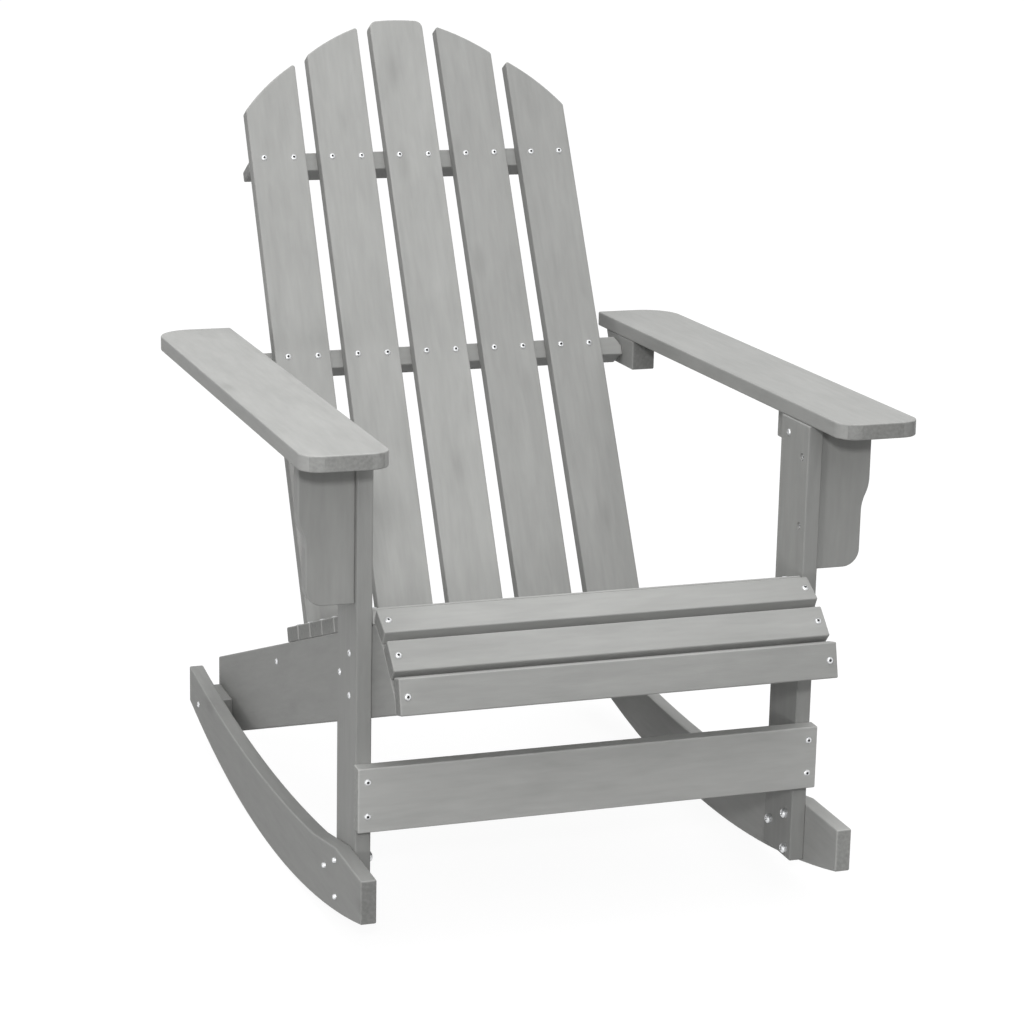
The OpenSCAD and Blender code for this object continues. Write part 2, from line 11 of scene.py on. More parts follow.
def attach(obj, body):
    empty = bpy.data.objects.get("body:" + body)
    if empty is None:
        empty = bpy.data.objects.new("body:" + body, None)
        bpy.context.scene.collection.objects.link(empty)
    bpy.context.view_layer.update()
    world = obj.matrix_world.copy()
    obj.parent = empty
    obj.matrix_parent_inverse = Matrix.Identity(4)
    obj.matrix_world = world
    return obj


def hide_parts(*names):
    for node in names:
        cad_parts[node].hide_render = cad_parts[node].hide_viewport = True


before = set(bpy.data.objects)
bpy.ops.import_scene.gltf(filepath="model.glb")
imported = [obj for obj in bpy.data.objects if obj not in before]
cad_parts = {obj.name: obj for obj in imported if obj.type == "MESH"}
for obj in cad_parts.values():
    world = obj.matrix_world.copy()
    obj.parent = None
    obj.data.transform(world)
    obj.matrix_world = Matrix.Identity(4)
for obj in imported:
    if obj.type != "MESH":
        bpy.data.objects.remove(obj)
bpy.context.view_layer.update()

bl_info = {
    "name": "Garden Rocking Chair",
    "version": (1, 0, 0),
    "blender": (4, 5, 0),
    "location": "View3D > Sidebar > Rocking Chair",
    "description": "Dresses the boards and fasteners of a slatted garden rocking chair",
    "category": "Object",
}

# Slopes of the boards, in degrees, as the chair is built
RAIL_SLOPE = 19.6
LIP_UPPER_SLOPE = 27.3
LIP_LOWER_SLOPE = 42.4
APRON_LEAN = 14.0
RECLINE = 29.2
FAN_LEAN = 0.22
ARM_FALL = 1.5
ARM_TOE = 0.65


def tilt_x(degrees):
    """Turn about the X axis."""
    return Matrix.Rotation(math.radians(degrees), 3, "X")


def side_frame(fall=0.0):
    """Grain along Y, width along Z, thickness along X, falling toward the rear."""
    turn = tilt_x(-fall)
    return turn @ Vector((0, 1, 0)), turn @ Vector((0, 0, 1)), Vector((1, 0, 0))


def upright_frame():
    """Grain along Z, width along Y, thickness along X."""
    return Vector((0, 0, 1)), Vector((0, 1, 0)), Vector((1, 0, 0))


def cross_frame(rise):
    """Grain along X, width along Y turned up by rise degrees, thickness square to both."""
    turn = tilt_x(rise)
    return Vector((1, 0, 0)), turn @ Vector((0, 1, 0)), turn @ Vector((0, 0, 1))


def back_frame(step=0):
    """Grain up the reclined back, leaning in by its step from the middle slat, thickness out of its front."""
    turn = tilt_x(-RECLINE) @ Matrix.Rotation(math.radians(-FAN_LEAN * step), 3, "Y")
    return turn @ Vector((0, 0, 1)), turn @ Vector((1, 0, 0)), turn @ Vector((0, -1, 0))


def bracket_frame():
    """Grain along Z, width along X, thickness along Y."""
    return Vector((0, 0, 1)), Vector((1, 0, 0)), Vector((0, 1, 0))


def arm_frame(side):
    """Grain along the arm board, width across it, thickness out of its top."""
    turn = tilt_x(-ARM_FALL) @ Matrix.Rotation(math.radians(ARM_TOE * side), 3, "Z")
    return turn @ Vector((0, 1, 0)), turn @ Vector((1, 0, 0)), turn @ Vector((0, 0, 1))


# Properties that a user would change

def colour_property(name, description, default):
    return FloatVectorProperty(name=name, description=description, subtype="COLOR", size=3, min=0.0, max=1.0,
                               default=default)


def length_property(name, description, default, low, high):
    return FloatProperty(name=name, description=description, default=default, min=low, max=high,
                         subtype="DISTANCE", unit="LENGTH")


def power_property(name, description, default):
    return FloatProperty(name=name, description=description, default=default, min=0.0,
                         subtype="POWER", unit="POWER")


class ChairTimber(bpy.types.PropertyGroup):
    edge_round: length_property("Edge rounding", "Radius of the boards' eased edges", 0.0017, 0.0005, 0.005)
    edge_steps: IntProperty(name="Edge steps", description="Faces across the shaped boards' eased edges",
                            default=3, min=1, max=6)
    stain_dark: colour_property("Dark stain", "Colour where it soaked in most", (0.268, 0.270, 0.262))
    stain_light: colour_property("Light stain", "Colour where it soaked in least", (0.446, 0.448, 0.437))
    end_grain: colour_property("End grain", "Colour of the boards' sawn ends", (0.300, 0.302, 0.292))
    ring_gap: length_property("Ring gap", "Distance between growth rings", 0.0058, 0.001, 0.02)


class ChairFasteners(bpy.types.PropertyGroup):
    head_radius: length_property("Screw head radius", "Radius of the screw heads", 0.0038, 0.002, 0.006)
    head_height: length_property("Screw head height", "Height of the screw heads", 0.0018, 0.0005, 0.004)
    shank_radius: length_property("Screw shank radius", "Radius of the screw shanks", 0.0020, 0.001, 0.004)
    bolt_head_radius: length_property("Bolt head radius", "Radius of the bolt heads", 0.0055, 0.003, 0.008)
    bolt_head_height: length_property("Bolt head height", "Height of the bolt heads", 0.0030, 0.001, 0.005)
    bolt_radius: length_property("Bolt radius", "Radius of the bolts", 0.0030, 0.002, 0.005)
    sink_radius: length_property("Sink radius", "Radius of the sunk screw holes", 0.0045, 0.004, 0.007)
    nut_edge: length_property("Nut edge", "Width of the chamfers on the nuts", 0.0004, 0.0001, 0.001)
    zinc: colour_property("Zinc", "Colour of the zinc plating", (0.80, 0.81, 0.82))
    zinc_dull: colour_property("Dull zinc", "Colour of the plating's dull patches", (0.52, 0.53, 0.54))


class ChairStudio(bpy.types.PropertyGroup):
    sky_low: FloatProperty(name="Sky at the horizon", description="Strength of the light from the sides",
                           default=0.04, min=0.0, max=2.0, subtype="FACTOR")
    sky_high: FloatProperty(name="Sky overhead", description="Strength that the light gains toward the top",
                            default=1.24, min=0.0, max=4.0, subtype="FACTOR")
    key: power_property("Key light", "Power of the lamp beside the camera", 52.0)
    side: power_property("Side light", "Power of the low lamp at the front left", 24.0)
    top: power_property("Top light", "Power of the wide lamp overhead", 29.0)
    floor: FloatProperty(name="Floor bounce", description="Share of the light that the floor returns",
                         default=0.12, min=0.0, max=1.0, subtype="FACTOR")


# Node helpers

WHITE = (1.0, 1.0, 1.0, 1.0)
# Colours of knot hearts, of pores in the sawn ends, and of the shade in the screws' recesses
KNOT_DARK = (0.150, 0.150, 0.142, 1.0)
PORE_DARK = (0.195, 0.196, 0.190, 1.0)
RECESS_DARK = (0.03, 0.03, 0.03, 1.0)


class Maths:
    """A number socket whose operators add Math nodes."""

    def __init__(self, tree, socket):
        self.tree = tree
        self.socket = socket

    def _math(self, operation, *values):
        node = self.tree.node("ShaderNodeMath", {"operation": operation}, dict(enumerate(values)))
        return Maths(self.tree, node.outputs[0])

    def __add__(self, other):
        return self._math("ADD", self, other)

    __radd__ = __add__

    def __sub__(self, other):
        return self._math("SUBTRACT", self, other)

    def __rsub__(self, other):
        return self._math("SUBTRACT", other, self)

    def __mul__(self, other):
        return self._math("MULTIPLY", self, other)

    __rmul__ = __mul__

    def __truediv__(self, other):
        return self._math("DIVIDE", self, other)

    def __mod__(self, other):
        return self._math("MODULO", self, other)

    def __floordiv__(self, other):
        return self._math("FLOOR", self / other)

    def root(self):
        return self._math("SQRT", self)

    def sine(self):
        return self._math("SINE", self)

    def cosine(self):
        return self._math("COSINE", self)

    def size(self):
        return self._math("ABSOLUTE", self)

    def above(self, limit):
        return self._math("GREATER_THAN", self, limit)

    def most(self, other):
        return self._math("MAXIMUM", self, other)

    def clamp(self, low, high):
        return self._math("MINIMUM", self.most(low), high)

    def ramp(self, low, high):
        """0 below low, 1 above high, smooth between."""
        node = self.tree.node("ShaderNodeMapRange", {"interpolation_type": "SMOOTHSTEP", "clamp": True},
                              {"Value": self, "From Min": low, "From Max": high})
        return Maths(self.tree, node.outputs[0])


class Tree:
    """The node tree of a material, a world or a geometry group."""

    def __init__(self, tree):
        self.tree = tree
        tree.nodes.clear()

    def node(self, kind, settings=None, inputs=None):
        made = self.tree.nodes.new(kind)
        for key, value in (settings or {}).items():
            if key == "switch_items":
                while len(made.index_switch_items) < value:
                    made.index_switch_items.new()
            else:
                setattr(made, key, value)
        for key, value in (inputs or {}).items():
            if isinstance(value, Maths):
                value = value.socket
            if isinstance(value, bpy.types.NodeSocket):
                self.tree.links.new(value, made.inputs[key])
            else:
                made.inputs[key].default_value = value
        return made

    def value(self, node, output=0):
        return Maths(self, node.outputs[output])

    def attribute(self, name):
        return self.node("ShaderNodeAttribute", {"attribute_type": "GEOMETRY", "attribute_name": name})

    def stretched(self, vector, scale, shift=(0.0, 0.0, 0.0)):
        return self.node("ShaderNodeMapping", {"vector_type": "POINT"},
                         {"Vector": vector, "Location": shift, "Scale": scale}).outputs["Vector"]

    def noise(self, vector, detail=2.0, roughness=0.5, distortion=0.0, scale=1.0):
        made = self.node("ShaderNodeTexNoise", {"noise_dimensions": "3D"},
                         {"Vector": vector, "Scale": scale, "Detail": detail, "Roughness": roughness,
                          "Distortion": distortion})
        return self.value(made, "Fac")

    def mix(self, factor, first, second):
        """One colour going over into another."""
        made = self.node("ShaderNodeMix", {"data_type": "RGBA", "blend_type": "MIX", "clamp_factor": True},
                         {0: factor, 6: first, 7: second})
        return made.outputs[2]

    def vector(self, operation, first, second=None, scale=None):
        """A vector result of a Vector Math node."""
        inputs = {0: first}
        if second is not None:
            inputs[1] = second
        if scale is not None:
            inputs["Scale"] = scale
        return self.node("ShaderNodeVectorMath", {"operation": operation}, inputs).outputs["Vector"]

    def parts(self, vector):
        """The three numbers of a vector."""
        node = self.node("ShaderNodeSeparateXYZ", None, {0: vector})
        return [self.value(node, index) for index in range(3)]

    def joined(self, x, y, z):
        return self.node("ShaderNodeCombineXYZ", None, {0: x, 1: y, 2: z}).outputs[0]


def material_tree(name):
    material = bpy.data.materials.new(name)
    material.use_nodes = True
    return Tree(material.node_tree)


def rgba(colour):
    return (*colour, 1.0)


def timber_material(props):
    """Stained softwood: streaks and blotches along the grain, faint rings, knots and mottled sawn ends."""
    tree = material_tree("stained_softwood")
    grain = tree.attribute("grain").outputs["Vector"]
    names = ("tone", "worn", "knotty", "end")
    tone, worn, knotty, end = (tree.value(tree.attribute(name), "Fac") for name in names)

    # The grain attribute runs along the board in X, across it in Y, and through it in Z
    wander = tree.noise(tree.stretched(grain, (3.0, 12.0, 12.0)), 3.0, 0.55) - 0.5
    _, across, through = tree.parts(grain)
    across = across + wander * 0.030
    through = through + wander * 0.018
    radius = (across * across + through * through).root()
    rings = (radius * (2.0 * math.pi / props.ring_gap)).sine()

    fibres = tree.noise(tree.stretched(grain, (70.0, 1500.0, 1500.0)), 3.0, 0.6) - 0.5
    streaks = tree.noise(tree.stretched(grain, (26.0, 190.0, 190.0)), 2.0, 0.5, 0.3) - 0.5
    smears = tree.noise(tree.stretched(grain, (9.0, 70.0, 70.0), (3.1, 7.7, 1.3)), 2.0, 0.5, 0.5) - 0.5
    blotches = tree.noise(tree.stretched(grain, (9.0, 24.0, 24.0), (8.3, 2.9, 5.1)), 3.0, 0.55, 0.6) - 0.5

    # Knots: scattered cells, long along the board, with a darker heart in a pale ring
    spread = tree.vector("ADD", grain, tree.joined(wander * 0.02, wander * 0.02, wander * 0.02))
    cells = tree.node("ShaderNodeTexVoronoi", {"feature": "F1"},
                      {"Vector": tree.stretched(spread, (5.5, 16.0, 16.0)), "Scale": 1.0, "Randomness": 1.0})
    distance = tree.value(cells, "Distance")
    draw = tree.node("ShaderNodeSeparateColor", None, {0: cells.outputs["Color"]})
    chosen = tree.value(draw).ramp(0.62, 0.70)
    heart = (1.0 - distance.ramp(0.04, 0.20)) * chosen * knotty
    halo = (1.0 - distance.ramp(0.15, 0.42)) * chosen * knotty

    shade = (0.5 + streaks * 0.26 + smears * 0.34 + blotches * 0.50 + fibres * 0.12 + rings * 0.012
             - halo * 0.10).clamp(0.0, 1.0)
    colour = tree.mix(shade, rgba(props.stain_dark), rgba(props.stain_light))
    colour = tree.mix(heart * 0.42, colour, KNOT_DARK)
    pores = tree.noise(tree.stretched(grain, (90.0, 260.0, 260.0), (5.2, 1.9, 6.6)), 3.0, 0.6) - 0.5
    ends = (0.55 + rings * 0.10 + blotches * 0.8 + pores * 1.8).clamp(0.0, 1.0)
    sawn = tree.mix(ends, PORE_DARK, rgba(props.end_grain))
    colour = tree.mix(end * 0.8, colour, sawn)
    # Eased edges are mixed toward the light stain: partly edge wear, partly a painted highlight along the
    # rounded edges
    colour = tree.mix(worn * (0.22 + streaks * 0.6).clamp(0.0, 0.5), colour, rgba(props.stain_light))
    # The tone value scales each board's colour; for some boards it holds painted light and shade
    toned = tree.node("ShaderNodeHueSaturation", None, {"Value": tone, "Color": colour}).outputs[0]

    rough = (0.60 + fibres * 0.30 + blotches * 0.20 + end * 0.12 - worn * 0.05).clamp(0.4, 0.95)
    height = fibres * 0.8 + streaks * 0.3 + rings * 0.04
    bump = tree.node("ShaderNodeBump", None, {"Strength": 0.30, "Distance": 0.0005, "Height": height})
    surface = tree.node("ShaderNodeBsdfPrincipled", None,
                        {"Base Color": toned, "Roughness": rough, "Specular IOR Level": 0.30,
                         "Normal": bump.outputs[0]})
    tree.node("ShaderNodeOutputMaterial", None, {"Surface": surface.outputs[0]})


def zinc_material(props):
    """Zinc plating: bright, lightly brushed and dulled in patches."""
    tree = material_tree("zinc_plate")
    place = tree.node("ShaderNodeTexCoord").outputs["Object"]
    dull = tree.noise(place, 3.0, 0.6, scale=260.0)
    fine = tree.noise(place, 2.0, 0.5, scale=2200.0)
    colour = tree.mix(dull.ramp(0.35, 0.75), rgba(props.zinc), rgba(props.zinc_dull))
    colour = tree.mix(tree.value(tree.attribute("recess"), "Fac") * 0.9, colour, RECESS_DARK)
    rough = (0.30 + dull * 0.20 + fine * 0.08).clamp(0.2, 0.6)
    bump = tree.node("ShaderNodeBump", None, {"Strength": 0.15, "Distance": 0.0002, "Height": fine})
    surface = tree.node("ShaderNodeBsdfPrincipled", None,
                        {"Base Color": colour, "Metallic": 0.85, "Roughness": rough,
                         "Normal": bump.outputs[0]})
    tree.node("ShaderNodeOutputMaterial", None, {"Surface": surface.outputs[0]})


# Geometry groups

def new_group(name, inputs):
    """A geometry node group with named inputs, each of a socket kind."""
    group = bpy.data.node_groups.new(name, "GeometryNodeTree")
    for label, kind in inputs:
        group.interface.new_socket(name=label, in_out="INPUT", socket_type="NodeSocket" + kind)
    group.interface.new_socket(name="Geometry", in_out="OUTPUT", socket_type="NodeSocketGeometry")
    return group


def close_group(tree, geometry, finish):
    """Realizes the instances and gives them their material."""
    real = tree.node("GeometryNodeRealizeInstances", None, {0: geometry})
    made = tree.node("GeometryNodeSetMaterial", None, {"Geometry": real.outputs[0], "Material": finish})
    return made.outputs[0]


def moved_to(tree, geometry, place):
    """Sets the place of each point."""
    return tree.node("GeometryNodeSetPosition", None, {"Geometry": geometry, "Position": place}).outputs[0]


def shaded(tree, geometry, smooth):
    """Shades all faces smooth or flat."""
    return tree.node("GeometryNodeSetShadeSmooth", {"domain": "FACE"},
                     {"Geometry": geometry, "Shade Smooth": smooth}).outputs[0]


def named(tree, name, kind):
    """Reads a named attribute."""
    return tree.node("GeometryNodeInputNamedAttribute", {"data_type": kind}, {"Name": name}).outputs[0]


def stored(tree, geometry, name, value, kind="FLOAT", domain="POINT"):
    return tree.node("GeometryNodeStoreNamedAttribute", {"data_type": kind, "domain": domain},
                     {"Geometry": geometry, "Name": name, "Value": value}).outputs[0]


def board_group():
    """A row of equal boards with eased edges, each with its own run of grain."""
    steps = 3
    inputs = (("Places", "Geometry"), ("Length", "Float"), ("Width", "Float"), ("Thickness", "Float"),
              ("Edge Rounding", "Float"), ("Turn", "Rotation"), ("Tone", "Float"), ("Seed", "Int"),
              ("Finish", "Material"))
    tree = Tree(new_group("eased_boards", inputs))
    given = tree.node("NodeGroupInput")
    sizes = tree.joined(*(given.outputs[name] for name in ("Length", "Width", "Thickness")))
    half = tree.vector("SCALE", sizes, scale=0.5)
    rounding = tree.value(given, "Edge Rounding")
    inset = tree.joined(rounding, rounding, rounding)

    # Each point of the cube's mesh counts its steps from the middle, and the outer ones bend round the edge
    rows = 2 * steps + 2
    cube = tree.node("GeometryNodeMeshCube", None,
                     {"Size": (1.0, 1.0, 1.0), "Vertices X": rows, "Vertices Y": rows, "Vertices Z": rows})
    place = tree.node("GeometryNodeInputPosition").outputs[0]
    sign = tree.vector("SIGN", place)
    from_middle = tree.vector("SCALE", tree.vector("ABSOLUTE", place), scale=float(rows - 1))
    out_steps = tree.vector("MAXIMUM", tree.vector("SUBTRACT", from_middle, (0.5, 0.5, 0.5)), (0.0, 0.0, 0.0))
    bend = tree.vector("NORMALIZE", tree.vector("MULTIPLY", sign, out_steps))
    core = tree.vector("MULTIPLY", sign, tree.vector("SUBTRACT", half, inset))
    shaped = tree.vector("ADD", core, tree.vector("MULTIPLY", bend, inset))
    made = moved_to(tree, cube.outputs["Mesh"], shaped)

    normal = tree.node("GeometryNodeInputNormal").outputs[0]
    facing = [part.size() for part in tree.parts(normal)]
    flat = facing[0].most(facing[1]).most(facing[2]).above(0.995)
    # Faces of the rounded edges are marked for edge wear and a painted highlight
    made = stored(tree, made, "worn", 1.0 - flat, domain="FACE")
    made = stored(tree, made, "end", facing[0].above(0.8), domain="FACE")
    made = stored(tree, made, "grain", tree.node("GeometryNodeInputPosition").outputs[0], "FLOAT_VECTOR")
    made = shaded(tree, made, False)

    turn = given.outputs["Turn"]
    placed = tree.node("GeometryNodeInstanceOnPoints", None,
                       {"Points": given.outputs["Places"], "Instance": made, "Rotation": turn})
    seed = given.outputs["Seed"]
    shift = tree.node("FunctionNodeRandomValue", {"data_type": "FLOAT_VECTOR"},
                      {0: (-30.0, -0.02, -0.05), 1: (30.0, 0.02, 0.05), "Seed": seed})
    tone = tree.node("FunctionNodeRandomValue", {"data_type": "FLOAT"}, {2: 0.965, 3: 1.03, "Seed": seed})
    row = stored(tree, placed.outputs[0], "shift", shift.outputs[0], "FLOAT_VECTOR", "INSTANCE")
    row = stored(tree, row, "tone", tree.value(tone, 1) * tree.value(given, "Tone"), domain="INSTANCE")
    row = close_group(tree, row, given.outputs["Finish"])
    base = named(tree, "grain", "FLOAT_VECTOR")
    moved = named(tree, "shift", "FLOAT_VECTOR")
    row = stored(tree, row, "grain", tree.vector("ADD", base, moved), "FLOAT_VECTOR")
    row = stored(tree, row, "knotty", 0.5)
    tree.node("NodeGroupOutput", None, {0: row})


SCREW_SIZES = ("Head Radius", "Head Height", "Recess Radius", "Recess Depth", "Lobes", "Lobe Depth",
               "Shank Radius", "Tip Radius", "Tip Length", "Length")


def screw_group():
    """A screw or bolt on each point: a profile turned about its axis, with a lobed recess in the head."""
    sides, rows = 36, 15
    inputs = [("Places", "Geometry")] + [(name, "Float") for name in SCREW_SIZES] + [("Finish", "Material")]
    tree = Tree(new_group("turned_screws", inputs))
    given = tree.node("NodeGroupInput")
    (head, height, recess, deep, lobes, lobe,
     shank, tip, point, length) = (tree.value(given, name) for name in SCREW_SIZES)

    # Radius and height of the profile from the floor of the recess, over the head and down to the tip
    profile = (
        (0.0, height - deep), (recess * 0.55, height - deep), (recess * 0.86, height - deep * 0.35),
        (recess, height * 0.985), (recess * 1.06, height),
        (head * 0.68, height * 0.90), (head * 0.84, height * 0.68), (head * 0.95, height * 0.38),
        (head, height * 0.14), (head * 0.985, 0.0), (shank, 0.0),
        (shank, point - length), (tip * 0.5 + shank * 0.5, point * 0.5 - length), (tip, length * -1.0),
        (0.0, length * -1.0),
    )
    recess_rows = (1, 2, 3)
    grid = tree.node("GeometryNodeMeshGrid", None,
                     {"Size X": 1.0, "Size Y": 1.0, "Vertices X": sides + 1, "Vertices Y": rows})
    index = tree.value(tree.node("GeometryNodeInputIndex"))
    row = index % float(rows)
    angle = (index // float(rows)) * (2.0 * math.pi / sides)

    def pick(values):
        items = {0: row}
        items.update((place + 1, value) for place, value in enumerate(values))
        node = tree.node("GeometryNodeIndexSwitch", {"data_type": "FLOAT", "switch_items": rows}, items)
        return tree.value(node)

    lobed = pick([1.0 if place in recess_rows else 0.0 for place in range(rows)])
    radius = pick([item[0] for item in profile]) * (1.0 + lobed * lobe * (angle * lobes).cosine())
    shaped = tree.joined(radius * angle.cosine(), radius * angle.sine(), pick([item[1] for item in profile]))
    made = moved_to(tree, grid.outputs["Mesh"], shaped)
    made = stored(tree, made, "recess", 1.0 - row.above(2.5))
    made = tree.node("GeometryNodeMergeByDistance", None, {"Geometry": made, "Distance": 1e-6}).outputs[0]
    made = tree.node("GeometryNodeFlipFaces", None, {"Mesh": made}).outputs[0]
    made = shaded(tree, made, True)
    bent = tree.value(tree.node("GeometryNodeInputMeshEdgeAngle")).above(math.radians(32))
    made = tree.node("GeometryNodeSetShadeSmooth", {"domain": "EDGE"},
                     {"Geometry": made, "Selection": bent, "Shade Smooth": False}).outputs[0]
    aim = named(tree, "aim", "QUATERNION")
    placed = tree.node("GeometryNodeInstanceOnPoints", None,
                       {"Points": given.outputs["Places"], "Instance": made, "Rotation": aim})
    tree.node("NodeGroupOutput", None, {0: close_group(tree, placed.outputs[0], given.outputs["Finish"])})


def settled(item):
    """Turns what the object's modifiers make into its plain mesh."""
    graph = bpy.context.evaluated_depsgraph_get()
    mesh = bpy.data.meshes.new_from_object(item.evaluated_get(graph))
    item.modifiers.clear()
    item.data = mesh
    return item


def grown(name, group, places, values, aims=None):
    """A plain mesh that a geometry group makes on the places."""
    mesh = bpy.data.meshes.new(name)
    mesh.from_pydata(places, [], [])
    if aims:
        layer = mesh.attributes.new("aim", "QUATERNION", "POINT")
        for index, aim in enumerate(aims):
            layer.data[index].value = aim
    item = bpy.data.objects.new(name, mesh)
    bpy.context.scene.collection.objects.link(item)
    modifier = item.modifiers.new("grow", "NODES")
    modifier.node_group = bpy.data.node_groups[group]
    sockets = {socket.name: socket.identifier for socket in modifier.node_group.interface.items_tree}
    for key, value in values.items():
        modifier[sockets[key]] = value
    settled(item)
    for extra in ("shift", "aim"):
        if extra in item.data.attributes:
            item.data.attributes.remove(item.data.attributes[extra])
    return item


def claimed(item, nodes):
    """Hands a finished piece to the frame."""
    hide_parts(*nodes)
    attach(item, "root")


# Board making

# Edges that turn more than the first are eased, and outline points that turn less than the second are dropped
EASED_ANGLE, STRAIGHT_ANGLE = math.radians(20), math.radians(0.05)
# Farthest shifts of the grain along, across and through the shaped boards, in metres
GRAIN_SHIFT = (30.0, 0.02, 0.045)
# Faces smaller than this belong to an eased edge, which gets edge wear and a painted highlight, in square
# metres
WEAR_AND_HIGHLIGHT_FACE = 0.00040
# Edges that turn more than this stay crisp, in radians
CRISP_ANGLE = math.radians(12)
# Depth below a screw's top in which its head shows, in metres
HEAD_LOOK = 0.0010


def cad_copy(node):
    """The merged mesh of a CAD node, as a new bmesh."""
    work = bmesh.new()
    work.from_mesh(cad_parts[node].data)
    bmesh.ops.remove_doubles(work, verts=work.verts, dist=1e-6)
    return work


def cap_outline(work, axis):
    """The outer outline of the solid's face that points along axis, as a list of points."""
    axis = axis.normalized()
    caps = [face for face in work.faces if face.normal.dot(axis) > 0.9995]
    top = max(vert.co.dot(axis) for face in caps for vert in face.verts)
    caps = [face for face in caps if all(vert.co.dot(axis) > top - 2e-4 for vert in face.verts)]
    inside = set(caps)
    ahead = {}
    for face in caps:
        for loop in face.loops:
            if not any(other in inside for other in loop.edge.link_faces if other is not face):
                ahead[loop.vert.index] = (loop.link_loop_next.vert.index, loop.edge.calc_length())
    outlines = []
    while ahead:
        outline, total = [], 0.0
        at = next(iter(ahead))
        while at in ahead:
            step, length = ahead.pop(at)
            outline.append(at)
            total += length
            at = step
        outlines.append((total, outline))
    outline = max(outlines)[1]
    work.verts.ensure_lookup_table()
    return [work.verts[index].co.copy() for index in outline]


def write_grain(mesh, axes, centre, shift, tone, knotty):
    """Stores the grain's own coordinates and the finish values on a board's mesh."""
    along, across, through = axes
    grain = mesh.attributes.new("grain", "FLOAT_VECTOR", "POINT")
    for vert in mesh.vertices:
        offset = vert.co - centre
        place = Vector((offset.dot(along), offset.dot(across), offset.dot(through)))
        grain.data[vert.index].vector = place + shift
    for name, value in (("tone", tone), ("knotty", knotty)):
        mesh.attributes.new(name, "FLOAT", "POINT").data.foreach_set("value", [value] * len(mesh.vertices))
    ends, worn = [], []
    for polygon in mesh.polygons:
        facing = abs(polygon.normal.dot(along))
        ends.append(1.0 if facing > 0.8 else 0.0)
        # Small faces of the eased edges are marked for edge wear and a painted highlight
        worn.append(1.0 if polygon.area < WEAR_AND_HIGHLIGHT_FACE and len(polygon.vertices) <= 4 else 0.0)
    mesh.attributes.new("end", "FLOAT", "FACE").data.foreach_set("value", ends)
    mesh.attributes.new("worn", "FLOAT", "FACE").data.foreach_set("value", worn)


def board(node, axes, props, tone, knotty=0.0, seed=0, sinks=()):
    """A board with eased edges over the outline of a CAD node, with its own grain and sunk holes."""
    axes = [axis.normalized() for axis in axes]
    through = axes[2]
    work = cad_copy(node)
    work.verts.index_update()
    work.normal_update()
    outline = cap_outline(work, through)
    depths = [vert.co.dot(through) for vert in work.verts]
    thick = max(depths) - min(depths)
    work.free()

    # Points on straight runs are dropped, and long arcs keep theirs
    kept = []
    count = len(outline)
    for index, point in enumerate(outline):
        before, after = outline[index - 1], outline[(index + 1) % count]
        first, second = point - before, after - point
        if first.length < 1e-5 or first.angle(second, 0.0) < STRAIGHT_ANGLE:
            continue
        kept.append(point)

    made = bmesh.new()
    top = [made.verts.new(point) for point in kept]
    low = [made.verts.new(point - through * thick) for point in kept]
    made.faces.new(top)
    made.faces.new(list(reversed(low)))
    for index in range(len(top)):
        after = (index + 1) % len(top)
        made.faces.new((top[index], low[index], low[after], top[after]))
    bmesh.ops.recalc_face_normals(made, faces=made.faces)
    sharp = [edge for edge in made.edges if edge.calc_face_angle(0.0) > EASED_ANGLE]
    bmesh.ops.bevel(made, geom=sharp, offset=props.edge_round, offset_type="OFFSET",
                    segments=props.edge_steps, profile=0.5, affect="EDGES", clamp_overlap=True)
    for face in made.faces:
        face.smooth = True

    # The pith line lies outside or inside the board by chance
    chance = random.Random(seed)
    shift = Vector([chance.uniform(-limit, limit) for limit in GRAIN_SHIFT])
    centre = sum(kept, Vector()) / len(kept)
    mesh = bpy.data.meshes.new(node + "_board")
    made.to_mesh(mesh)
    made.free()
    item = bpy.data.objects.new(node + "_board", mesh)
    bpy.context.scene.collection.objects.link(item)
    mesh.materials.append(bpy.data.materials["stained_softwood"])
    for place, aim in sinks:
        cut_sink(item, place, aim)
    crease(item.data)
    write_grain(item.data, axes, centre, shift, tone, knotty)
    claimed(item, [node])


def crease(mesh):
    """Marks the edges that stay crisp, and smooths the long arcs between them."""
    work = bmesh.new()
    work.from_mesh(mesh)
    for edge in work.edges:
        edge.smooth = edge.calc_face_angle(0.0) < CRISP_ANGLE
    for face in work.faces:
        face.smooth = True
    work.to_mesh(mesh)
    work.free()


def cut_sink(item, place, aim):
    """Cuts a round sunk hole with its floor at place, open along aim."""
    radius = bpy.context.scene.chair_fasteners.sink_radius
    work = bmesh.new()
    depth = 2.0 * radius
    bmesh.ops.create_cone(work, cap_ends=True, segments=32, radius1=radius, radius2=radius, depth=depth,
                          matrix=Matrix.Translation(place) @ aim.to_matrix().to_4x4()
                          @ Matrix.Translation((0.0, 0.0, depth / 2)))
    mesh = bpy.data.meshes.new("sink")
    work.to_mesh(mesh)
    work.free()
    mesh.materials.append(bpy.data.materials["stained_softwood"])
    cutter = bpy.data.objects.new("sink", mesh)
    bpy.context.scene.collection.objects.link(cutter)
    modifier = item.modifiers.new("sink", "BOOLEAN")
    modifier.operation = "DIFFERENCE"
    modifier.solver = "EXACT"
    modifier.object = cutter
    settled(item)
    bpy.data.objects.remove(cutter)


def boards(table):
    """Makes a board for each row of node, axes, tone and knots."""
    props = bpy.context.scene.chair_timber
    sunk = screw_places("bracket_screws", SIDE_AIMS)
    for seed, (node, axes, tone, knotty) in enumerate(table):
        sinks = ()
        if node in ("leg_left", "leg_right"):
            side = 1.0 if node == "leg_right" else -1.0
            head = Vector((0, 0, bpy.context.scene.chair_fasteners.head_height))
            sinks = [(place - aim @ head, aim) for place, aim, _ in sunk if place.x * side > 0.0]
        board(node, axes, props, tone, knotty, seed * 17 + len(node), sinks)


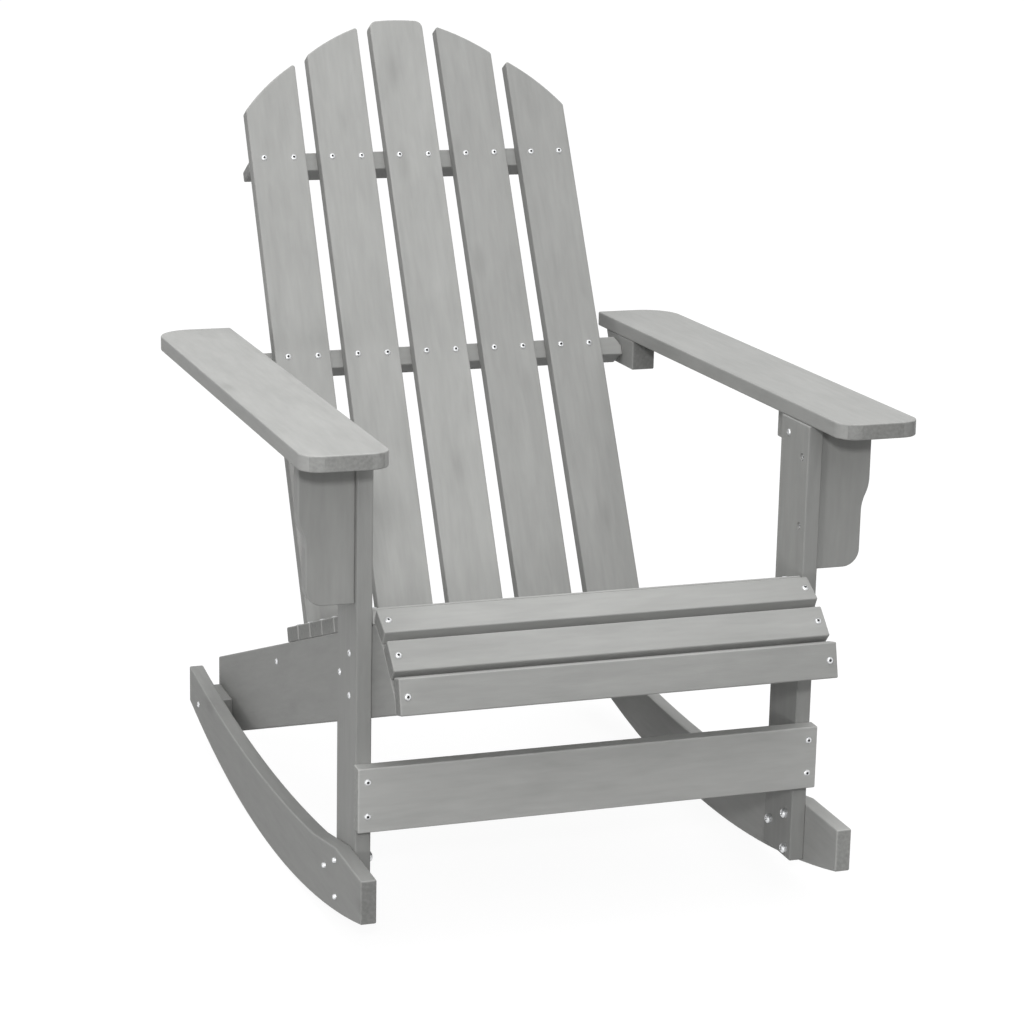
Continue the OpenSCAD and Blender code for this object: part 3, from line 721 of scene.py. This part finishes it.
def plain_boards(name, nodes, axes, seed, tone=1.0):
    """A row of equal boards along a straight step, from the first node to the last."""
    props = bpy.context.scene.chair_timber
    turn = Matrix(axes).transposed()
    spans = []
    for node in (nodes[0], nodes[-1]):
        points = [turn.inverted() @ vert.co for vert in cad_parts[node].data.vertices]
        spans.append([(min(run), max(run)) for run in zip(*points)])
    first, last = (turn @ Vector([(low + high) / 2 for low, high in span]) for span in spans)
    count = len(nodes)
    places = [first.lerp(last, index / max(1, count - 1)) for index in range(count)]
    length, width, thick = (high - low for low, high in spans[0])
    item = grown(name, "eased_boards", places, {
        "Length": length, "Width": width, "Thickness": thick, "Edge Rounding": props.edge_round,
        "Turn": turn.to_euler(), "Tone": tone, "Seed": seed,
        "Finish": bpy.data.materials["stained_softwood"]})
    claimed(item, nodes)


# Fasteners

SIDE_AIMS = (Vector((1, 0, 0)), Vector((-1, 0, 0)))


def islands(node):
    """The points of each separate solid of a CAD node."""
    work = cad_copy(node)
    left = set(work.verts)
    groups = []
    for start in work.verts:
        if start not in left:
            continue
        left.remove(start)
        reach = [start]
        group = []
        while reach:
            vert = reach.pop()
            group.append(vert.co.copy())
            for edge in vert.link_edges:
                other = edge.other_vert(vert)
                if other in left:
                    left.remove(other)
                    reach.append(other)
        groups.append(group)
    work.free()
    if not groups:
        raise RuntimeError("no solids in " + node)
    return groups


def aim_along(points, axis):
    """The screw's middle line, its top, its length and how well the axis fits it."""
    aim = axis.to_track_quat("Z", "Y")
    turned = [aim.inverted() @ point for point in points]
    *middle, _ = [(min(run) + max(run)) / 2 for run in zip(*turned)]
    top = max(point.z for point in turned)
    low = min(point.z for point in turned)
    spread = [math.hypot(point.x - middle[0], point.y - middle[1]) for point in turned]
    crown = max(wide for wide, point in zip(spread, turned) if point.z > top - HEAD_LOOK)
    return 2.0 * max(spread) - crown, aim @ Vector((middle[0], middle[1], top)), aim, top - low


def screw_places(node, axes):
    """Top of the head, aim and whole length of each screw in a CAD node."""
    found = []
    for points in islands(node):
        score, place, aim, length = min((aim_along(points, axis) for axis in axes), key=lambda fit: fit[0])
        found.append((place, aim, length))
    return found


def screws(node, axes, sizes):
    """Screws or bolts over the solids of a CAD node."""
    chance = random.Random(len(node))
    found = screw_places(node, axes)
    head = sizes["Head Height"]
    places = [place - aim @ Vector((0, 0, head)) for place, aim, _ in found]
    spin = [Matrix.Rotation(chance.uniform(0.0, math.tau), 3, "Z").to_quaternion() for _ in found]
    values = dict(sizes, Length=found[0][2] - head, Finish=bpy.data.materials["zinc_plate"])
    aims = [aim @ turn for (_, aim, _), turn in zip(found, spin)]
    item = grown(node + "_turned", "turned_screws", places, values, aims)
    claimed(item, [node])


def nuts(node, edge_width):
    """Nuts with chamfered edges over the solids of a CAD node."""
    work = cad_copy(node)
    bmesh.ops.dissolve_limit(work, angle_limit=math.radians(1.0), verts=work.verts, edges=work.edges)
    sharp = [edge for edge in work.edges if edge.calc_face_angle(0.0) > math.radians(40)]
    bmesh.ops.bevel(work, geom=sharp, offset=edge_width, offset_type="OFFSET", segments=1, affect="EDGES",
                    clamp_overlap=True)
    bmesh.ops.triangulate(work, faces=work.faces)

    # Dissolving leaves the points and faces in no fixed order, so they are sorted here
    points = sorted(work.verts, key=lambda vert: tuple(round(value, 7) for value in vert.co))
    rank = {vert: index for index, vert in enumerate(points)}
    faces = []
    for face in work.faces:
        corners = [rank[vert] for vert in face.verts]
        first = corners.index(min(corners))
        faces.append(corners[first:] + corners[:first])
    mesh = bpy.data.meshes.new(node + "_chamfered")
    mesh.from_pydata([vert.co.copy() for vert in points], [], sorted(faces))
    work.free()
    mesh.materials.append(bpy.data.materials["zinc_plate"])
    item = bpy.data.objects.new(node + "_chamfered", mesh)
    bpy.context.scene.collection.objects.link(item)
    claimed(item, [node])


class CHAIR_OT_finishes(bpy.types.Operator):
    """Makes the stained timber, the zinc and the groups that grow boards and screws"""
    bl_idname = "chair.finishes"
    bl_label = "Finishes"

    def execute(self, context):
        timber_material(context.scene.chair_timber)
        zinc_material(context.scene.chair_fasteners)
        board_group()
        screw_group()
        return {"FINISHED"}


class CHAIR_OT_sides(bpy.types.Operator):
    """Makes the rockers, legs, side rails and spacers"""
    bl_idname = "chair.sides"
    bl_label = "Sides"

    def execute(self, context):
        boards([
            # The rockers' tones hold painted light: the right rocker is toned far lighter than the left one
            # to lift the shade it gets under the seat
            ("rocker_left", side_frame(), 0.87, 0.8),
            ("rocker_right", side_frame(), 1.22, 1.0),
            ("leg_left", upright_frame(), 0.91, 0.2),
            ("leg_right", upright_frame(), 0.89, 0.5),
            ("side_rail_left", side_frame(RAIL_SLOPE), 0.90, 0.4),
            ("side_rail_right", side_frame(RAIL_SLOPE), 1.0, 0.4),
            ("rear_spacer_left", side_frame(), 0.95, 0.0),
            ("rear_spacer_right", side_frame(), 0.95, 0.0),
        ])
        return {"FINISHED"}


class CHAIR_OT_seat(bpy.types.Operator):
    """Makes the seat slats, the apron and the stretcher"""
    bl_idname = "chair.seat"
    bl_label = "Seat"

    def execute(self, context):
        straight = ["seat_slat_%d" % index for index in range(3, 10)]
        plain_boards("seat_slats", straight, cross_frame(-RAIL_SLOPE), 11)
        # The lip slats and the apron are toned darker than the seat slats as painted shade from the arms and
        # back above them
        plain_boards("lip_slat_upper", ["seat_slat_2"], cross_frame(LIP_UPPER_SLOPE), 12, 0.94)
        plain_boards("lip_slat_lower", ["seat_slat_1"], cross_frame(LIP_LOWER_SLOPE), 13, 0.89)
        plain_boards("apron_board", ["apron"], cross_frame(90.0 - APRON_LEAN), 14, 0.91)
        plain_boards("stretcher_board", ["stretcher"], cross_frame(90.0), 15, 1.38)
        return {"FINISHED"}


class CHAIR_OT_back(bpy.types.Operator):
    """Makes the back slats and the three rails behind them"""
    bl_idname = "chair.back"
    bl_label = "Back"

    def execute(self, context):
        tones = (0.95, 0.98, 1.0, 0.90, 0.87)
        rows = [("back_slat_%d" % (index + 1), back_frame(index - 2), tone, 0.5)
                for index, tone in enumerate(tones)]
        turn = tilt_x(-RECLINE)
        rail = (Vector((1, 0, 0)), turn @ Vector((0, 0, 1)), turn @ Vector((0, -1, 0)))
        rows += [(name, rail, 0.94, 0.0) for name in ("upper_rail", "middle_rail")]
        boards(rows)
        plain_boards("lower_rail_board", ["lower_rail"], cross_frame(90.0 - RECLINE), 16)
        return {"FINISHED"}


class CHAIR_OT_arms(bpy.types.Operator):
    """Makes the arms, their brackets, cleats and rear blocks"""
    bl_idname = "chair.arms"
    bl_label = "Arms"

    def execute(self, context):
        boards([
            # The arms' tones hold painted light: the left arm is toned lighter than the right one for the
            # brighter light on its top
            ("arm_left", arm_frame(-1), 1.08, 0.6),
            ("arm_right", arm_frame(1), 0.96, 0.6),
            ("bracket_left", bracket_frame(), 0.95, 0.0),
            ("bracket_right", bracket_frame(), 0.98, 0.0),
            ("cleat_left", side_frame(ARM_FALL), 0.95, 0.0),
            ("cleat_right", side_frame(ARM_FALL), 0.95, 0.0),
            ("arm_block_left", side_frame(ARM_FALL), 0.85, 0.0),
            ("arm_block_right", side_frame(ARM_FALL), 0.85, 0.0),
        ])
        return {"FINISHED"}


class CHAIR_OT_fasteners(bpy.types.Operator):
    """Makes the screws, bolts and nuts"""
    bl_idname = "chair.fasteners"
    bl_label = "Fasteners"

    def execute(self, context):
        props = context.scene.chair_fasteners
        screw = {"Head Radius": props.head_radius, "Head Height": props.head_height,
                 "Recess Radius": props.head_radius * 0.42, "Recess Depth": props.head_height * 0.9,
                 "Lobes": 6.0, "Lobe Depth": 0.14, "Shank Radius": props.shank_radius,
                 "Tip Radius": props.shank_radius * 0.08, "Tip Length": 0.005}
        bolt = dict(screw, **{
            "Head Radius": props.bolt_head_radius, "Head Height": props.bolt_head_height,
            "Recess Radius": props.bolt_head_radius * 0.40, "Recess Depth": props.bolt_head_height * 0.8,
            "Lobe Depth": 0.06, "Shank Radius": props.bolt_radius, "Tip Radius": props.bolt_radius * 0.8,
            "Tip Length": 0.001})
        down = tilt_x(180.0 - ARM_FALL) @ Vector((0, 0, 1))
        slopes = (LIP_LOWER_SLOPE, LIP_UPPER_SLOPE, -RAIL_SLOPE, 90.0 - APRON_LEAN)
        screws("back_screws", [back_frame()[2]], screw)
        screws("seat_screws", [cross_frame(slope)[2] for slope in slopes], screw)
        screws("stretcher_screws", [Vector((0, -1, 0))], screw)
        screws("arm_screws", [down], screw)
        for name in ("leg_screws", "bracket_screws", "cleat_screws", "block_screws", "lower_rail_screws",
                     "spacer_screws"):
            screws(name, SIDE_AIMS, screw)
        screws("rocker_bolts", SIDE_AIMS, bolt)
        nuts("rocker_nuts", props.nut_edge)
        return {"FINISHED"}


class CHAIR_OT_studio(bpy.types.Operator):
    """Makes the floor, the lamps and the camera"""
    bl_idname = "chair.studio"
    bl_label = "Studio"

    def execute(self, context):
        studio_floor(context.scene.chair_studio)
        studio_light(context.scene.chair_studio)
        studio_camera()
        return {"FINISHED"}


# Radius and depth of the floor in metres, its sides, and the glow that keeps it white where it is seen
FLOOR_RADIUS, FLOOR_DROP, FLOOR_SIDES, FLOOR_GLOW = 14.0, 0.0004, 96, 0.93


def seen_directly(tree):
    """1 for rays from the camera and for those that metal or glass sends on."""
    path = tree.node("ShaderNodeLightPath")
    return (tree.value(path, "Is Camera Ray") + tree.value(path, "Is Glossy Ray")
            + tree.value(path, "Is Transmission Ray")).clamp(0.0, 1.0)


def studio_floor(props):
    """White floor that keeps a faint shadow of the chair."""
    tree = material_tree("white_floor")
    bounce = tree.node("ShaderNodeBsdfDiffuse", None, {"Color": (props.floor, props.floor, props.floor, 1.0)})
    glow = tree.node("ShaderNodeEmission", None, {"Color": WHITE, "Strength": FLOOR_GLOW})
    both = tree.node("ShaderNodeAddShader", None, {0: bounce.outputs[0], 1: glow.outputs[0]})
    mixed = tree.node("ShaderNodeMixShader", None,
                      {0: seen_directly(tree), 1: bounce.outputs[0], 2: both.outputs[0]})
    tree.node("ShaderNodeOutputMaterial", None, {"Surface": mixed.outputs[0]})
    work = bmesh.new()
    bmesh.ops.create_circle(work, cap_ends=True, radius=FLOOR_RADIUS, segments=FLOOR_SIDES)
    bmesh.ops.translate(work, verts=work.verts, vec=(0.0, 0.0, -FLOOR_DROP))
    mesh = bpy.data.meshes.new("floor")
    work.to_mesh(mesh)
    work.free()
    mesh.materials.append(bpy.data.materials["white_floor"])
    floor = bpy.data.objects.new("floor", mesh)
    bpy.context.scene.collection.objects.link(floor)


# Places and sizes of the lamps, in metres
LAMP_TARGET = (0.0, 0.0, 0.45)
KEY_PLACE, KEY_SIZE = (-1.35, -3.95, 1.97), 0.3
SIDE_PLACE, SIDE_SIZE = (-3.1, -2.5, 0.45), 0.6
TOP_PLACE, TOP_SIZE = (-0.2, -0.6, 3.1), 1.8


def studio_light(props):
    """A sky that brightens toward the top, white where it is seen, and three lamps."""
    world = bpy.data.worlds.new("studio")
    bpy.context.scene.world = world
    world.use_nodes = True
    tree = Tree(world.node_tree)
    rise = tree.parts(tree.node("ShaderNodeTexCoord").outputs["Generated"])[2].clamp(0.0, 1.0)
    near = tree.node("ShaderNodeBackground", None,
                     {"Color": WHITE, "Strength": rise * props.sky_high + props.sky_low})
    far = tree.node("ShaderNodeBackground", None, {"Color": WHITE, "Strength": 1.0})
    mixed = tree.node("ShaderNodeMixShader", None,
                      {0: seen_directly(tree), 1: near.outputs[0], 2: far.outputs[0]})
    tree.node("ShaderNodeOutputWorld", None, {"Surface": mixed.outputs[0]})
    studio_lamp("key_lamp", KEY_PLACE, KEY_SIZE, props.key)
    studio_lamp("side_lamp", SIDE_PLACE, SIDE_SIZE, props.side)
    studio_lamp("top_lamp", TOP_PLACE, TOP_SIZE, props.top)


def studio_lamp(name, place, size, power):
    """A round lamp aimed at the middle of the chair."""
    lamp = bpy.data.lights.new(name, "AREA")
    lamp.shape = "DISK"
    lamp.size = size
    lamp.energy = power
    item = bpy.data.objects.new(name, lamp)
    item.location = place
    item.rotation_mode = "QUATERNION"
    item.rotation_quaternion = (Vector(LAMP_TARGET) - Vector(place)).to_track_quat("-Z", "Y")
    item.visible_camera = False
    bpy.context.scene.collection.objects.link(item)


# Camera: place in metres, angles in degrees, focal length and centre in pixels of a 1024 frame
CAMERA_PLACE = (-1.134692, -3.389132, 1.333403)
CAMERA_TURN = 20.5555
CAMERA_DROP = 15.3728
CAMERA_ROLL = 1.6455
FRAME_PIXELS = 1024.0
FOCAL_PIXELS = 3081.097
CENTRE_PIXELS = (600.0, 540.0)


def studio_camera():
    turn, drop, roll = (math.radians(angle) for angle in (CAMERA_TURN, CAMERA_DROP, CAMERA_ROLL))
    forward = Vector((math.sin(turn) * math.cos(drop), math.cos(turn) * math.cos(drop), -math.sin(drop)))
    right = Vector((math.cos(turn), -math.sin(turn), 0.0))
    above = right.cross(forward)
    side = right * math.cos(roll) + above * math.sin(roll)
    up = above * math.cos(roll) - right * math.sin(roll)
    lens = bpy.data.cameras.new("camera")
    lens.sensor_width = 36.0
    lens.sensor_fit = "HORIZONTAL"
    lens.lens = FOCAL_PIXELS / FRAME_PIXELS * lens.sensor_width
    lens.shift_x = (FRAME_PIXELS / 2 - CENTRE_PIXELS[0]) / FRAME_PIXELS
    lens.shift_y = (CENTRE_PIXELS[1] - FRAME_PIXELS / 2) / FRAME_PIXELS
    lens.clip_start, lens.clip_end = 0.05, 60.0
    camera = bpy.data.objects.new("camera", lens)
    turned = Matrix((side, up, -forward)).transposed().to_4x4()
    camera.matrix_world = Matrix.Translation(CAMERA_PLACE) @ turned
    bpy.context.scene.collection.objects.link(camera)
    bpy.context.scene.camera = camera


class CHAIR_PT_panel(bpy.types.Panel):
    """Lists what makes the chair's looks"""
    bl_idname = "CHAIR_PT_panel"
    bl_label = "Rocking Chair"
    bl_space_type = "VIEW_3D"
    bl_region_type = "UI"
    bl_category = "Rocking Chair"

    def draw(self, context):
        layout = self.layout
        scene = context.scene
        for group in (scene.chair_timber, scene.chair_fasteners, scene.chair_studio):
            column = layout.column(align=True)
            for key in group.__annotations__:
                column.prop(group, key)
        for operator in OPERATORS:
            layout.operator(operator.bl_idname)


GROUPS = (("chair_timber", ChairTimber), ("chair_fasteners", ChairFasteners), ("chair_studio", ChairStudio))
OPERATORS = (CHAIR_OT_finishes, CHAIR_OT_sides, CHAIR_OT_seat, CHAIR_OT_back, CHAIR_OT_arms,
             CHAIR_OT_fasteners, CHAIR_OT_studio)


def register():
    for name, group in GROUPS:
        bpy.utils.register_class(group)
        setattr(bpy.types.Scene, name, PointerProperty(type=group))
    for operator in OPERATORS:
        bpy.utils.register_class(operator)
    bpy.utils.register_class(CHAIR_PT_panel)


def unregister():
    bpy.utils.unregister_class(CHAIR_PT_panel)
    for operator in reversed(OPERATORS):
        bpy.utils.unregister_class(operator)
    for name, group in reversed(GROUPS):
        delattr(bpy.types.Scene, name)
        bpy.utils.unregister_class(group)


def main():
    register()
    bpy.context.scene.view_settings.view_transform = "Standard"
    for operator in OPERATORS:
        group, name = operator.bl_idname.split(".")
        getattr(getattr(bpy.ops, group), name)()


if __name__ == "__main__":
    main()
